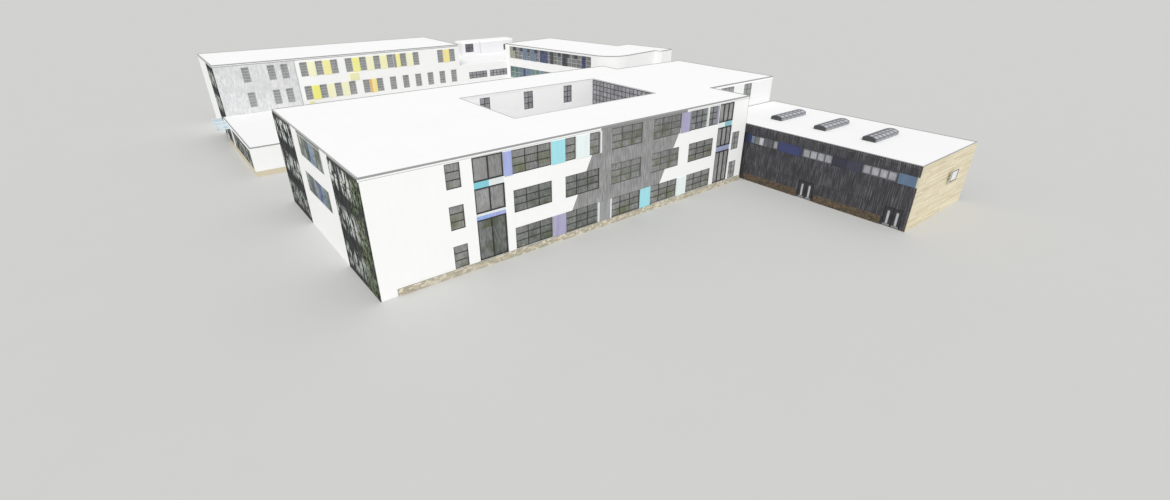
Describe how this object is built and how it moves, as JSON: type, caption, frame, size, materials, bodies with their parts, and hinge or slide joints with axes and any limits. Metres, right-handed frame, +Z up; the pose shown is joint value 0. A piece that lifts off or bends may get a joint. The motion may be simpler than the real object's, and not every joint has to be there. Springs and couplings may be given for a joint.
{
  "type": "school building, scale model at 1:10",
  "caption": "Flat-roofed white school with a panelled facade, light well, dark sports hall with hinged doors, and rear wings round a yard.",
  "frame": {"origin": "centre of the building's bounding box, at ground level", "axes": "+Y from the facade towards the rear wing, +X along the facade to the right, +Z up"},
  "size_m": [7.2842, 9.55, 1.135],
  "materials": {
    "render": "matt white render",
    "slab": "plain concrete",
    "roof_skin": "pale roofing",
    "stone": "split stone",
    "window_glass": "dark glazing",
    "curtain_glass": "dark curtain wall",
    "colour_panels": "coloured infill panels",
    "trim": "grey sheet metal",
    "cladding": "charcoal ribbed cladding",
    "end_boards": "buff boards",
    "hall_glass": "milky panes",
    "hall_colour": "blue panels",
    "brick": "brown brick",
    "door_metal": "dark painted steel",
    "canopy_glass": "pale blue glass",
    "teal_glass": "teal glazing"
  },
  "bodies": {
    "building": {"ground_floor": "slab", "upper_floors": "slab", "main_roof": "roof_skin", "front_wall": "render", "yard_wall": "render", "side_walls": "render", "plinth": "stone", "facade_windows": "window_glass", "side_windows": "window_glass", "curtain_walls": "curtain_glass", "facade_panels": "colour_panels", "roof_trim": "trim", "well_long_walls": "render", "well_short_walls": "render", "well_windows": "window_glass", "hub_cross_walls": "render", "hub_side_wall": "render", "hall_floor": "slab", "hall_lower_wall": "cladding", "hall_upper_wall": "cladding", "hall_end_walls": "end_boards", "hall_far_wall": "cladding", "hall_roof": "roof_skin", "rooflight_kerbs": "trim", "rooflight_glass": "curtain_glass", "hall_windows": "hall_glass", "hall_panels": "hall_colour", "brick_base": "brick", "ball_board": "trim", "door_frames": "door_metal", "rear_long_walls": "render", "rear_end_walls": "render", "rear_floors": "slab", "rear_roof": "roof_skin", "rear_windows": "window_glass", "link_walls": "render", "link_roof": "roof_skin", "link_canopy": "canopy_glass", "terrace_walls": "render", "terrace_roofs": "roof_skin", "wing_walls": "render", "wing_floors": "slab", "wing_roof": "roof_skin", "wing_windows": "teal_glass", "passage": "render"},
    "door_leaf_1": {"leaf_1": "door_metal", "leaf_glass_1": "hall_glass"},
    "door_leaf_2": {"leaf_2": "door_metal", "leaf_glass_2": "hall_glass"},
    "door_leaf_3": {"leaf_3": "door_metal", "leaf_glass_3": "hall_glass"},
    "door_leaf_4": {"leaf_4": "door_metal", "leaf_glass_4": "hall_glass"}
  },
  "joints": [
    {"name": "door_hinge_1", "type": "hinge", "parent": "building", "child": "door_leaf_1", "pos_m": [1.43392, -3.66, 0.043], "axis": [0, 0, 1], "range_deg": [0, 95]},
    {"name": "door_hinge_2", "type": "hinge", "parent": "building", "child": "door_leaf_2", "pos_m": [1.43392, -3.479, 0.043], "axis": [0, 0, -1], "range_deg": [0, 95]},
    {"name": "door_hinge_3", "type": "hinge", "parent": "building", "child": "door_leaf_3", "pos_m": [1.43392, -4.67, 0.043], "axis": [0, 0, 1], "range_deg": [0, 95]},
    {"name": "door_hinge_4", "type": "hinge", "parent": "building", "child": "door_leaf_4", "pos_m": [1.43392, -4.489, 0.043], "axis": [0, 0, -1], "range_deg": [0, 95]}
  ]
}
